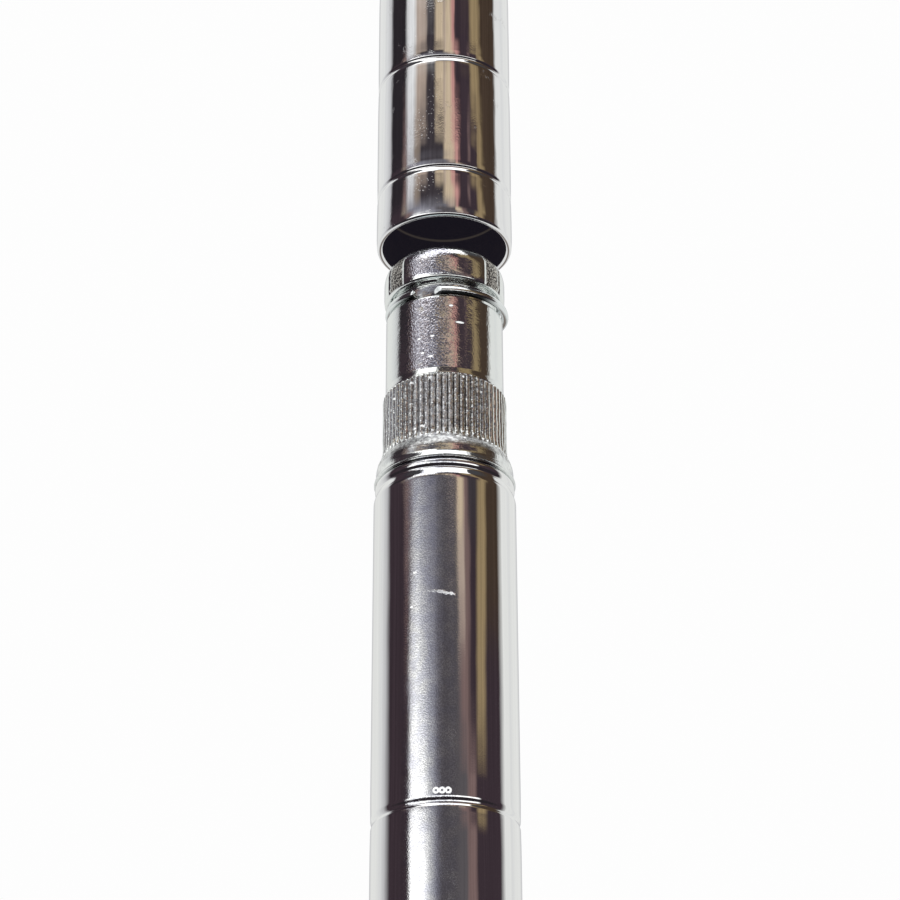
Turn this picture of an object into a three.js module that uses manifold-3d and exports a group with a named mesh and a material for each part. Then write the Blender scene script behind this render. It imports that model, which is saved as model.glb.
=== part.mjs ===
// Two-section grooved tubular post, standing on a screw-in levelling foot.
// The sections meet at a push-fit plug. At rest the upper section is drawn just clear of the plug.
// Millimetres, +Z up, with the origin at the centre of the foot's underside.

import * as THREE from "three";
import { mergeVertices } from "three/addons/utils/BufferGeometryUtils.js";
import Module from "manifold-3d";

// ---------------------------------------------------------------- driving dimensions

const FACETS = 32; // sides of every turned surface that fits a tube
const SMALL_FACETS = 24; // sides of the foot's smaller turned surfaces
const PRESS_GAP = 0.06; // clearance of a pressed-in piece

// Tubes
const TUBE_RADIUS = 12.7;
const WALL = 1.24;
const SECTION_LENGTH = 275;
const LOWER_TUBE_BASE = 20;
const MOUTH_CHAMFER = 0.6;

// The lower tube's end is crimped in a shallow valley and ends in a rounded rim
const CRIMP_RADIUS = 12.28;
const CRIMP_RISE = 1.9;
const RIM_RADIUS = 12.5;
const RIM_RISE = 2.75;
const RIM_TOP_RADIUS = 12;
const RIM_TOP = 3.6;

// Rolled grooves, one every pitch along both sections
const GROOVE_PITCH = 25;
const GROOVE_HALF_WIDTH = 0.85;
const GROOVE_FLOOR_HALF_WIDTH = 0.35;
const GROOVE_DEPTH = 0.3;
const RIDGE_HEIGHT = 0.2; // how far the wall stands into the bore behind a groove
const LOWER_GROOVES = 8;
const UPPER_GROOVES = 11;
const GROOVE_BELOW_EDGE = 60.8;
const GROOVE_ABOVE_MOUTH = 10.8;

// Coupling plug, heights counted from the lower tube's straight edge
const OPEN_MOUTH = 53.9; // the upper tube's mouth as drawn apart
const PLUG_DEPTH = 40;
const COLLAR_RADIUS = 12.6;
const COLLAR_BRIM_RADIUS = 12.68;
const COLLAR_BASE = 3.68;
const COLLAR_SHOULDER = 7;
const COLLAR_TOP = 8.7;
const KNURL_TOP = 21.3;
const KNURL_TEETH = 64;
const KNURL_TIP_RADIUS = 11.2;
const KNURL_ROOT_RADIUS = 10.85;
const SHANK_RADIUS = 10.75;
const RING_GROOVE_BASE = 37.7;
const RING_GROOVE_TOP = 41.4;
const RING_GROOVE_RADIUS = 9.4;
const NOSE_RADIUS = 11.15;
const NOSE_SHOULDER = 45.8;
const NOSE_TIP = 49.2;
const NOSE_FACE_RADIUS = 8.4;

// Snap ring
const RING_OUTER_RADIUS = 11.36;
const RING_INNER_RADIUS = 10.1;
const RING_BASE = 38.1;
const RING_HEIGHT = 1.3;
const RING_CORNER = 0.35;
const RING_GAP_MIDDLE = -20.5; // degrees round from the front, towards +X
const RING_GAP_WIDTH = 27; // degrees

// Levelling foot
const PAD_RADIUS = 11.3;
const SHELL_RADIUS = 12.5;
const SHELL_TOP = 6.6;
const SHELL_THICKNESS = 1;
const STUD_RADIUS = 4.95;
const STUD_TOP = 48;
const NUT_ACROSS_FLATS = 16;
const NUT_BASE = 7;
const NUT_HEIGHT = 6;
const INSERT_BORE_RADIUS = 5.15;
const INSERT_TOP = 45;
const INSERT_FLANGE = 1.7;

// Top cap
const CAP_SKIRT_RADIUS = 11;
const CAP_SKIRT_DEPTH = 11.5;
const CAP_WALL = 1.4;
const CAP_RISE = 3.4;
const CAP_FLAT_RADIUS = 7;
const CAP_RIBS = 6;

// ---------------------------------------------------------------- derived sizes

const BORE_RADIUS = TUBE_RADIUS - WALL;
const FIT_RADIUS = BORE_RADIUS - PRESS_GAP;
const EDGE = LOWER_TUBE_BASE + SECTION_LENGTH;
const MOUTH = EDGE + OPEN_MOUTH;
const UPPER_TUBE_TOP = MOUTH + SECTION_LENGTH;

// ---------------------------------------------------------------- materials

const chrome = new THREE.MeshStandardMaterial({ color: 0xc9ccd1, roughness: 0.12, metalness: 1 });
const platedSteel = new THREE.MeshStandardMaterial({ color: 0xa9a8a6, roughness: 0.32, metalness: 1 });
const springSteel = new THREE.MeshStandardMaterial({ color: 0xb4babb, roughness: 0.22, metalness: 1 });
const zincSteel = new THREE.MeshStandardMaterial({ color: 0x9fa3a4, roughness: 0.4, metalness: 1 });
const blackPlastic = new THREE.MeshStandardMaterial({ color: 0x1d1e20, roughness: 0.55, metalness: 0 });
const greyNylon = new THREE.MeshStandardMaterial({ color: 0x8b8d8f, roughness: 0.6, metalness: 0 });

// ---------------------------------------------------------------- geometry helpers

// A turned solid from [radius, height] points that go up the outside and end on the axis or close.
function turned(points, facets = FACETS) {
  const profile = points.map(([radius, height]) => new THREE.Vector2(radius, height));
  return new THREE.LatheGeometry(profile, facets).rotateX(Math.PI / 2);
}

// A hollow turned solid: the outline closes on its first point.
function turnedRing(points, facets = FACETS) {
  return turned([...points, points[0]], facets);
}

// Points on half a cosine wave between two [radius, height] points, upright at both.
function softStep([radius0, height0], [radius1, height1], steps) {
  return Array.from({ length: steps }, (_, i) => {
    const along = i / steps;
    const across = (1 - Math.cos(along * Math.PI)) / 2;
    return [radius0 + (radius1 - radius0) * across, height0 + (height1 - height0) * along];
  });
}

// Points on a quarter of an ellipse between two [radius, height] points, leaving the first one upright.
function quarterRound([radius0, height0], [radius1, height1], steps) {
  return Array.from({ length: steps + 1 }, (_, i) => {
    const angle = (i / steps) * (Math.PI / 2);
    return [
      radius1 + (radius0 - radius1) * Math.cos(angle),
      height0 + (height1 - height0) * Math.sin(angle),
    ];
  });
}

// manifold-3d does the joins and cuts.
const wasm = await Module();
wasm.setup();

function toSolid(geometry) {
  const bare = geometry.clone();
  bare.deleteAttribute("normal");
  bare.deleteAttribute("uv");
  const merged = mergeVertices(bare, 1e-4);
  return new wasm.Manifold(
    new wasm.Mesh({
      numProp: 3,
      vertProperties: merged.attributes.position.array,
      triVerts: new Uint32Array(merged.index.array),
    }),
  );
}

function toGeometry(solid) {
  const mesh = solid.getMesh();
  const geometry = new THREE.BufferGeometry();
  geometry.setAttribute("position", new THREE.BufferAttribute(mesh.vertProperties, 3));
  geometry.setIndex(new THREE.BufferAttribute(mesh.triVerts, 1));
  geometry.computeVertexNormals();
  return geometry;
}

// ---------------------------------------------------------------- tubes

function grooveOutside(height) {
  const floor = TUBE_RADIUS - GROOVE_DEPTH;
  return [
    [TUBE_RADIUS, height - GROOVE_HALF_WIDTH],
    [floor, height - GROOVE_FLOOR_HALF_WIDTH],
    [floor, height + GROOVE_FLOOR_HALF_WIDTH],
    [TUBE_RADIUS, height + GROOVE_HALF_WIDTH],
  ];
}

function ridgeInside(height) {
  return [
    [BORE_RADIUS, height + GROOVE_HALF_WIDTH],
    [BORE_RADIUS - RIDGE_HEIGHT, height],
    [BORE_RADIUS, height - GROOVE_HALF_WIDTH],
  ];
}

// Groove heights counted upwards from the lowest one.
function grooveHeights(lowest, count) {
  return Array.from({ length: count }, (_, i) => lowest + i * GROOVE_PITCH);
}

// One tube: plain lower end and upper end outlines joined by the grooved wall.
function tubeGeometry(lowerEnd, upperEnd, grooves) {
  const outside = grooves.flatMap(grooveOutside);
  const inside = [...grooves].reverse().flatMap(ridgeInside);
  return turnedRing([...lowerEnd, ...outside, ...upperEnd, ...inside]);
}

function lowerTube() {
  const lowestGroove = EDGE - GROOVE_BELOW_EDGE - (LOWER_GROOVES - 1) * GROOVE_PITCH;
  const base = [
    [BORE_RADIUS, LOWER_TUBE_BASE],
    [TUBE_RADIUS - 0.3, LOWER_TUBE_BASE],
    [TUBE_RADIUS, LOWER_TUBE_BASE + 0.4],
  ];
  const edge = [TUBE_RADIUS, EDGE];
  const crimp = [CRIMP_RADIUS, EDGE + CRIMP_RISE];
  const rim = [RIM_RADIUS, EDGE + RIM_RISE];
  const end = [
    ...softStep(edge, crimp, 4),
    ...softStep(crimp, rim, 3),
    ...quarterRound(rim, [RIM_TOP_RADIUS, EDGE + RIM_TOP], 3),
    [BORE_RADIUS, EDGE + RIM_TOP],
  ];
  return tubeGeometry(base, end, grooveHeights(lowestGroove, LOWER_GROOVES));
}

function upperTube() {
  const mouth = [
    [BORE_RADIUS, MOUTH + MOUTH_CHAMFER],
    [BORE_RADIUS + MOUTH_CHAMFER, MOUTH],
    [TUBE_RADIUS - 0.3, MOUTH],
    [TUBE_RADIUS, MOUTH + 0.4],
  ];
  const top = [
    [TUBE_RADIUS, UPPER_TUBE_TOP - 0.4],
    [TUBE_RADIUS - 0.3, UPPER_TUBE_TOP],
    [BORE_RADIUS, UPPER_TUBE_TOP],
  ];
  return tubeGeometry(mouth, top, grooveHeights(MOUTH + GROOVE_ABOVE_MOUTH, UPPER_GROOVES));
}

// ---------------------------------------------------------------- coupling

// Straight teeth round the plug's shank, as a prism with a pointed outline.
function knurl() {
  const outline = new THREE.Shape(
    Array.from({ length: 2 * KNURL_TEETH }, (_, i) => {
      const radius = i % 2 ? KNURL_ROOT_RADIUS : KNURL_TIP_RADIUS;
      const angle = (i * Math.PI) / KNURL_TEETH;
      return new THREE.Vector2(radius * Math.cos(angle), radius * Math.sin(angle));
    }),
  );
  const base = COLLAR_TOP - 0.2;
  const band = new THREE.ExtrudeGeometry(outline, { depth: KNURL_TOP - base, bevelEnabled: false });
  return band.translate(0, 0, EDGE + base);
}

function couplingPlug() {
  const pressed = [
    [0, -PLUG_DEPTH],
    [FIT_RADIUS - 1, -PLUG_DEPTH],
    [FIT_RADIUS, 1 - PLUG_DEPTH],
    [FIT_RADIUS, COLLAR_BASE],
  ];
  const collar = [
    [COLLAR_RADIUS - 0.2, COLLAR_BASE],
    [COLLAR_BRIM_RADIUS, COLLAR_BASE + 0.25],
    [COLLAR_RADIUS, COLLAR_BASE + 0.9],
    ...quarterRound([COLLAR_RADIUS, COLLAR_SHOULDER], [KNURL_TIP_RADIUS, COLLAR_TOP], 4),
  ];
  const shank = [
    [SHANK_RADIUS, COLLAR_TOP],
    [SHANK_RADIUS, RING_GROOVE_BASE],
    [RING_GROOVE_RADIUS, RING_GROOVE_BASE],
    [RING_GROOVE_RADIUS, RING_GROOVE_TOP],
    [NOSE_RADIUS, RING_GROOVE_TOP],
  ];
  const nose = quarterRound([NOSE_RADIUS, NOSE_SHOULDER], [NOSE_FACE_RADIUS, NOSE_TIP], 5);
  const outline = [...pressed, ...collar, ...shank, ...nose, [0, NOSE_TIP]];
  const body = turned(outline.map(([radius, height]) => [radius, EDGE + height]));
  return toGeometry(toSolid(body).add(toSolid(knurl())));
}

// The ring starts as a full turned ring, and a wedge from the axis outwards cuts its gap.
function snapRing() {
  const low = EDGE + RING_BASE;
  const high = low + RING_HEIGHT;
  const full = turnedRing([
    [RING_INNER_RADIUS + RING_CORNER, low],
    [RING_OUTER_RADIUS - RING_CORNER, low],
    [RING_OUTER_RADIUS, low + RING_CORNER],
    [RING_OUTER_RADIUS, high - RING_CORNER],
    [RING_OUTER_RADIUS - RING_CORNER, high],
    [RING_INNER_RADIUS + RING_CORNER, high],
    [RING_INNER_RADIUS, high - RING_CORNER],
    [RING_INNER_RADIUS, low + RING_CORNER],
  ]);
  const reach = 2 * RING_OUTER_RADIUS;
  const halfWidth = reach * Math.tan(THREE.MathUtils.degToRad(RING_GAP_WIDTH / 2));
  const wedge = new THREE.Shape([
    new THREE.Vector2(0, 0),
    new THREE.Vector2(-halfWidth, -reach),
    new THREE.Vector2(halfWidth, -reach),
  ]);
  const cutter = new THREE.ExtrudeGeometry(wedge, { depth: 3 * RING_HEIGHT, bevelEnabled: false })
    .translate(0, 0, low - RING_HEIGHT)
    .rotateZ(THREE.MathUtils.degToRad(RING_GAP_MIDDLE));
  return toGeometry(toSolid(full).subtract(toSolid(cutter)));
}

// ---------------------------------------------------------------- top cap

function topCap() {
  const inside = UPPER_TUBE_TOP - 0.5;
  const seat = UPPER_TUBE_TOP + PRESS_GAP;
  const skirtBase = UPPER_TUBE_TOP - CAP_SKIRT_DEPTH;
  const brim = TUBE_RADIUS - 0.1;
  const body = turned([
    [0, inside],
    [CAP_SKIRT_RADIUS - CAP_WALL, inside],
    [CAP_SKIRT_RADIUS - CAP_WALL, skirtBase],
    [CAP_SKIRT_RADIUS - 0.4, skirtBase],
    [CAP_SKIRT_RADIUS, skirtBase + 0.8],
    [CAP_SKIRT_RADIUS, seat],
    [brim, seat],
    ...quarterRound([brim, seat + 1.2], [CAP_FLAT_RADIUS, UPPER_TUBE_TOP + CAP_RISE], 4),
    [0, UPPER_TUBE_TOP + CAP_RISE],
  ]);
  let cap = toSolid(body);
  const ribDepth = FIT_RADIUS - CAP_SKIRT_RADIUS;
  const ribHeight = CAP_SKIRT_DEPTH - 1.5;
  for (let i = 0; i < CAP_RIBS; i++) {
    const rib = new THREE.BoxGeometry(2 * ribDepth, 1.2, ribHeight)
      .translate(CAP_SKIRT_RADIUS - 0.1, 0, seat - ribHeight / 2)
      .rotateZ((i * 2 * Math.PI) / CAP_RIBS);
    cap = cap.add(toSolid(rib));
  }
  return toGeometry(cap);
}

// ---------------------------------------------------------------- levelling foot

function footInsert() {
  const flangeBase = LOWER_TUBE_BASE - INSERT_FLANGE;
  const flangeTop = LOWER_TUBE_BASE - PRESS_GAP;
  const brim = TUBE_RADIUS - 0.1;
  return turnedRing([
    [INSERT_BORE_RADIUS, flangeBase + 0.6],
    [INSERT_BORE_RADIUS + 0.6, flangeBase],
    [brim - 0.4, flangeBase],
    [brim, flangeBase + 0.4],
    [brim, flangeTop],
    [FIT_RADIUS, flangeTop],
    [FIT_RADIUS, INSERT_TOP - 1.5],
    [FIT_RADIUS - 0.8, INSERT_TOP],
    [INSERT_BORE_RADIUS, INSERT_TOP],
  ]);
}

// The stud's riveted head turns in the glide under the shell.
function levellingStud() {
  const neck = STUD_RADIUS - 0.8;
  const headBase = 3.5;
  const headTop = 5.2;
  return turned(
    [
      [0, headBase],
      [6, headBase],
      [6, headTop],
      [neck, headTop],
      [neck, NUT_BASE - 0.1],
      [STUD_RADIUS, NUT_BASE + 0.2],
      [STUD_RADIUS, STUD_TOP - 1.2],
      [STUD_RADIUS - 1, STUD_TOP],
      [0, STUD_TOP],
    ],
    SMALL_FACETS,
  );
}

function adjustingNut() {
  const cornerRadius = NUT_ACROSS_FLATS / Math.sqrt(3);
  const middle = NUT_BASE + NUT_HEIGHT / 2;
  const hexagon = new THREE.CylinderGeometry(cornerRadius, cornerRadius, NUT_HEIGHT, 6)
    .rotateX(Math.PI / 2)
    .translate(0, 0, middle);
  const chamfer = 0.7;
  const trimmed = turnedRing(
    [
      [STUD_RADIUS + 0.1, NUT_BASE],
      [cornerRadius - chamfer, NUT_BASE],
      [cornerRadius + 0.2, NUT_BASE + chamfer],
      [cornerRadius + 0.2, NUT_BASE + NUT_HEIGHT - chamfer],
      [cornerRadius - chamfer, NUT_BASE + NUT_HEIGHT],
      [STUD_RADIUS + 0.1, NUT_BASE + NUT_HEIGHT],
    ],
    SMALL_FACETS,
  );
  return toGeometry(toSolid(hexagon).intersect(toSolid(trimmed)));
}

function glideShell() {
  const holeRadius = STUD_RADIUS - 0.4;
  const inner = SHELL_RADIUS - SHELL_THICKNESS;
  return turnedRing([
    [inner, 1.5],
    [SHELL_RADIUS, 1.5],
    ...quarterRound([SHELL_RADIUS, 4], [9.5, SHELL_TOP], 4),
    [holeRadius, SHELL_TOP],
    [holeRadius, SHELL_TOP - SHELL_THICKNESS],
    ...quarterRound([inner, 3.8], [9, SHELL_TOP - SHELL_THICKNESS], 3).reverse(),
  ]);
}

function glidePad() {
  const pocketRadius = 6.6;
  return turned([
    [0, 0],
    [PAD_RADIUS - 0.7, 0],
    [PAD_RADIUS, 0.7],
    ...quarterRound([PAD_RADIUS, 3.6], [8.8, 5.3], 3),
    [pocketRadius, 5.3],
    [pocketRadius, 3.2],
    [0, 3.2],
  ]);
}

// ---------------------------------------------------------------- assembly

const group = new THREE.Group();

function addPiece(name, geometry, material) {
  const mesh = new THREE.Mesh(geometry, material);
  mesh.name = name;
  group.add(mesh);
}

addPiece("lower_tube", lowerTube(), chrome);
addPiece("upper_tube", upperTube(), chrome);
addPiece("coupling_plug", couplingPlug(), platedSteel);
addPiece("snap_ring", snapRing(), springSteel);
addPiece("top_cap", topCap(), blackPlastic);
addPiece("foot_insert", footInsert(), zincSteel);
addPiece("levelling_stud", levellingStud(), zincSteel);
addPiece("adjusting_nut", adjustingNut(), zincSteel);
addPiece("glide_shell", glideShell(), chrome);
addPiece("glide_pad", glidePad(), greyNylon);

export default group;
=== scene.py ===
"""Looks for the sectional shelving post: a pale studio, chromed tubes, plug, snap ring, cap and foot.

Lengths are in millimetres until a mesh is made, and MM turns them into metres.
"""

from math import cos, degrees, pi, radians, sin, sqrt, tan

import bmesh
import bpy
from mathutils import Matrix, Vector, noise


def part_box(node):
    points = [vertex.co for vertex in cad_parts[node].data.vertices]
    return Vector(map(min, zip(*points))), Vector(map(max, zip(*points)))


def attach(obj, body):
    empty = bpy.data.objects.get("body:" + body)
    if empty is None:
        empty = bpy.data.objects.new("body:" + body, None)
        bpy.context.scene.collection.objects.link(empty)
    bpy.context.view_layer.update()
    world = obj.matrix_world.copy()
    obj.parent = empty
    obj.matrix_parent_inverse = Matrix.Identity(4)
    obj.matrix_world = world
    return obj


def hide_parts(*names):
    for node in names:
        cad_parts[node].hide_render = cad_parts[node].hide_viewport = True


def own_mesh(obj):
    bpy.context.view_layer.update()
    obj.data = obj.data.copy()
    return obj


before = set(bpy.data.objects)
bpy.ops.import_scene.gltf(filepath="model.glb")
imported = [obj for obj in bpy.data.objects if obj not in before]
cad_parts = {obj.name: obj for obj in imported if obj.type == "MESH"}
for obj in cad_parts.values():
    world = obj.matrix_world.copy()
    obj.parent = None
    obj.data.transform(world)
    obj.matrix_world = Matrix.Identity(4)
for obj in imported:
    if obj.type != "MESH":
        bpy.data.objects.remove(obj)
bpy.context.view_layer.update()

MM = 0.001


def top_of(node):
    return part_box(node)[1][2] / MM


def bottom_of(node):
    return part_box(node)[0][2] / MM


# ------------------------------------------------------------------ driving sizes

TUBE_RADIUS = (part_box("lower_tube")[1][0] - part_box("lower_tube")[0][0]) / MM / 2
WALL = 1.24
BORE_RADIUS = TUBE_RADIUS - WALL
TUBE_SIDES = 192
RIM_TOP = 3.6
EDGE = top_of("lower_tube") - RIM_TOP  # where the lower tube's straight wall ends
LOWER_BASE = bottom_of("lower_tube")
MOUTH = bottom_of("upper_tube")
UPPER_TOP = top_of("upper_tube")

GROOVE_PITCH = 25
GROOVE_DEPTH = 0.21
UPPER_REACH = (0.6, 1.05)  # how far a groove reaches above and below its deepest line, on the upper tube
LOWER_REACH = (1.2, 0.8)
EASE_REACH = 5.5  # how far from a groove the wall starts to draw in towards it
EASE_DEPTH = 0.05
RIDGE_HEIGHT = 0.2
RIDGE_REACH = 1.1
RIDGE_DROP = 0.6  # how much lower than its groove a ridge in the bore is drawn
LOWER_GROOVES = [EDGE - 60.8 - GROOVE_PITCH * i for i in reversed(range(8))]
UPPER_GROOVES = [MOUTH + 10.8 + GROOVE_PITCH * i for i in range(11)]

PLUG_DEPTH = 40
PRESS_GAP = 0.06
COLLAR_BASE = EDGE + 3.68
KNURL_TEETH = 64
KNURL_TIP = 11.22
KNURL_ROOT = 10.8
KNURL_LIMIT = 11.42  # just clear of the upper tube's bore
KNURL_BASE = EDGE + 8.6
KNURL_TOP = EDGE + 21.3
SHANK_RADIUS = 10.75
RING_GROOVE_RADIUS = 9.4
RING_GROOVE_BASE = EDGE + 37.8
RING_GROOVE_TOP = EDGE + 41.2
NOSE_RADIUS = 11.15
NOSE_BASE = EDGE + 41.4
NOSE_TIP = EDGE + 49.7
PAD_MIDDLE = 55  # degrees round from the front to the middle of a pad sunk in the nose
PAD_HALF_WIDTH = 11
PAD_DEPTH = 0.24

RING_BEND = 10.72
RING_SHIFT = 0.45  # the ring hangs off centre, to the right
RING_LOW = 38.75  # the height of its wire's middle above the edge, in front
RING_TILT = 0.8  # half of how much higher its back is
RING_LEAN = 0.2  # how much lower its right side is than its middle

# distance round from the front, height above the edge and half length of each ding and burr on the plug
NICKS = [
    (1.2, 35.5, 0.4), (2.8, 32.1, 0.8), (-4.7, 29.0, 0.35), (-2.2, 29.2, 0.4), (-4.0, 25.9, 0.35),
    (-2.5, 25.0, 0.5), (-6.0, 20.1, 0.25), (-2.6, 20.5, 0.3), (3.3, 20.6, 0.25), (6.8, 18.5, 0.25),
    (-10.2, 18.5, 0.25), (-3.8, 10.8, 0.5), (-5.3, 10.5, 0.3), (-2.5, 8.4, 0.35), (2.2, 8.2, 0.4),
    (3.3, 8.0, 0.3),
]
RUBS = [(-5.3, -18.7, 0.4), (-5.9, -25.1, 0.3)]  # the same for two rubbed spots on the lower tube
NICK_HALF_HEIGHT = 0.24

THREAD_PITCH = 1.5
NUT_ACROSS_FLATS = 16
NUT_BASE = bottom_of("adjusting_nut")
NUT_TOP = top_of("adjusting_nut")

# ------------------------------------------------------------------ outlines


def rounded(points, steps=5, closed=False):
    """The outline through (radius, height, corner) points, with each corner rounded by its own size."""
    outline = []
    last = len(points) - 1
    for i, (radius, height, corner) in enumerate(points):
        if not corner or (not closed and i in (0, last)):
            outline.append((radius, height))
            continue
        here = Vector((radius, height))
        before = Vector(points[i - 1][:2]) - here
        after = Vector(points[(i + 1) % len(points)][:2]) - here
        reach = min(corner, 0.49 * before.length, 0.49 * after.length)
        start = here + before.normalized() * reach
        end = here + after.normalized() * reach
        for k in range(steps + 1):
            t = k / steps
            outline.append(tuple(start * (1 - t) ** 2 + here * 2 * t * (1 - t) + end * t * t))
    return outline


def swell(offset, half_width):
    """1 at the middle of a rolled groove, falling smoothly to 0 at its edges."""
    if abs(offset) >= half_width:
        return 0.0
    return (1 + cos(pi * offset / half_width)) / 2


def groove_offsets(above, below):
    """Heights either side of a groove's deepest line: fine inside it, coarse where the wall eases into it."""
    inner = [-below * (1 - k / 12) for k in range(12)] + [above * k / 10 for k in range(11)]
    outer = [1.7, 2.4, 3.3, 4.4, EASE_REACH]
    return [-x for x in reversed(outer)] + inner + outer


def wall_outside(grooves, reach):
    """The outside of a grooved wall, from below to above. The wall draws in a little before each groove."""
    above, below = reach
    outline = []
    for middle in grooves:
        for offset in groove_offsets(above, below):
            draw = GROOVE_DEPTH * swell(offset, above if offset > 0 else below)
            outline.append((TUBE_RADIUS - draw - EASE_DEPTH * swell(offset, EASE_REACH), middle + offset))
    return outline


def wall_inside(grooves):
    """The inside of a grooved wall, from above to below, with the ridge that each groove raises."""
    outline = []
    for middle in reversed(grooves):
        for k in range(-5, 6):
            offset = -RIDGE_REACH * k / 5
            radius = BORE_RADIUS - RIDGE_HEIGHT * swell(offset, RIDGE_REACH)
            outline.append((radius, middle - RIDGE_DROP + offset))
    return outline


# ------------------------------------------------------------------ mesh making


def turned(outline, sides, closed=False, reshape=None):
    """Vertices and faces of an outline of (radius, height) points turned round the post's axis."""
    verts, rings = [], []
    for radius, height in outline:
        if radius == 0:
            rings.append([len(verts)] * sides)
            verts.append((0, 0, height))
            continue
        ring = []
        for i in range(sides):
            angle = 2 * pi * i / sides
            r = reshape(radius, height, angle) if reshape else radius
            ring.append(len(verts))
            verts.append((r * cos(angle), r * sin(angle), height))
        rings.append(ring)
    pairs = list(zip(rings, rings[1:]))
    if closed:
        pairs.append((rings[-1], rings[0]))
    faces = []
    for low, high in pairs:
        for i in range(sides):
            j = (i + 1) % sides
            corners = list(dict.fromkeys([low[i], low[j], high[j], high[i]]))
            if len(corners) > 2:
                faces.append(corners)
    return verts, faces


def piece(name, node, body, shape, materials, paint=None, sharp=32):
    """Makes a smooth-shaded piece that rides on a body and stands for a CAD node."""
    verts, faces = shape
    mesh = bpy.data.meshes.new(name)
    mesh.from_pydata([(x * MM, y * MM, z * MM) for x, y, z in verts], [], faces)
    for material in materials:
        mesh.materials.append(material)
    work = bmesh.new()
    work.from_mesh(mesh)
    bmesh.ops.recalc_face_normals(work, faces=work.faces)
    for face in work.faces:
        face.smooth = True
        if paint:
            face.material_index = paint(face.calc_center_median() / MM)
    for edge in work.edges:
        edge.smooth = len(edge.link_faces) == 2 and edge.calc_face_angle() < radians(sharp)
    work.to_mesh(mesh)
    work.free()
    obj = bpy.data.objects.new(name, mesh)
    bpy.context.scene.collection.objects.link(obj)
    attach(obj, body)
    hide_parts(node)
    return obj


# ------------------------------------------------------------------ node helpers


def add(tree, kind, inputs=None, **settings):
    """Adds a shader node. An input is a value, or a socket to link from."""
    node = tree.nodes.new(kind)
    for key, value in settings.items():
        setattr(node, key, value)
    for key, value in (inputs or {}).items():
        link(tree, value, node.inputs[key])
    return node


def link(tree, value, socket):
    if isinstance(value, bpy.types.NodeSocket):
        tree.links.new(value, socket)
    else:
        socket.default_value = value


def calc(tree, operation, a, b=0.0, c=0.0):
    return add(tree, "ShaderNodeMath", {0: a, 1: b, 2: c}, operation=operation).outputs[0]


def times(tree, a, b):
    return calc(tree, "MULTIPLY", a, b)


def layered(tree, base, *layers):
    """A base value plus each layer's mask times its amount."""
    for mask, amount in layers:
        base = calc(tree, "MULTIPLY_ADD", mask, amount, base)
    return base


def largest(tree, first, *others):
    for other in others:
        first = calc(tree, "MAXIMUM", first, other)
    return first


def squares(tree, a, b):
    """a x a + b x b."""
    return calc(tree, "MULTIPLY_ADD", a, a, times(tree, b, b))


def distance(tree, value, middle=0.0):
    """How far a value is from a middle, on either side."""
    return calc(tree, "ABSOLUTE", calc(tree, "SUBTRACT", value, middle))


def fade(tree, value, low, high):
    """0 below low, 1 above high (or the other way round when low is the larger), smooth between."""
    limits = {"Value": value, "From Min": low, "From Max": high}
    return add(tree, "ShaderNodeMapRange", limits, interpolation_type="SMOOTHSTEP").outputs["Result"]


def span(tree, value, low, full_low, full_high, high):
    """1 from full_low to full_high, falling smoothly to 0 at low and at high."""
    return times(tree, fade(tree, value, low, full_low), fade(tree, value, high, full_high))


def blend_colour(tree, factor, a, b):
    return add(tree, "ShaderNodeMix", {"Factor": factor, 6: a, 7: b}, data_type="RGBA").outputs[2]


def colour(red, green, blue):
    """A colour given as 0-255 screen values, in the linear values that nodes use."""
    linear = [((v / 255 + 0.055) / 1.055) ** 2.4 if v > 10 else v / 255 / 12.92 for v in (red, green, blue)]
    return (*linear, 1.0)


def axes_of(tree, vector):
    return add(tree, "ShaderNodeSeparateXYZ", {0: vector}).outputs


def scaled(tree, vector, scale):
    return add(tree, "ShaderNodeVectorMath", {0: vector, "Scale": scale}, operation="SCALE").outputs[0]


def in_mm(tree):
    """The point on the piece in millimetres, in the frame that it was made in."""
    return scaled(tree, add(tree, "ShaderNodeTexCoord").outputs["Object"], 1 / MM)


def turn_from_front(tree, x, y):
    """Radians round the post's axis from its front, growing to the right."""
    return calc(tree, "ARCTAN2", x, times(tree, y, -1))


def unwrapped(tree, place, radius):
    """Arc length round the post from its front, and height, both in millimetres."""
    x, y, z = axes_of(tree, place)
    return times(tree, turn_from_front(tree, x, y), radius), z


def noise_of(tree, place, size, detail=3.0, stretch=(1, 1, 1), roughness=0.5):
    """Noise whose blobs are about size millimetres across, stretched along the axes."""
    scale = tuple(1 / (size * s) for s in stretch)
    at = add(tree, "ShaderNodeVectorMath", {0: place, 1: scale}, operation="MULTIPLY").outputs[0]
    settings = {"Vector": at, "Scale": 1.0, "Detail": detail, "Roughness": roughness}
    return add(tree, "ShaderNodeTexNoise", settings).outputs[0]


def start_material(name):
    material = bpy.data.materials.new(name)
    material.use_nodes = True
    tree = material.node_tree
    return material, tree, tree.nodes["Principled BSDF"]


def finish_material(tree, shader, tint, rough, metal, relief):
    """Sets colour, roughness, metalness and a relief in millimetres."""
    link(tree, tint, shader.inputs["Base Color"])
    link(tree, rough, shader.inputs["Roughness"])
    link(tree, metal, shader.inputs["Metallic"])
    bump = add(tree, "ShaderNodeBump", {"Height": relief, "Distance": MM, "Strength": 1.0})
    tree.links.new(bump.outputs[0], shader.inputs["Normal"])


# ------------------------------------------------------------------ materials

WORN_WHITE = (0.95, 0.95, 0.95, 1)


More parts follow.
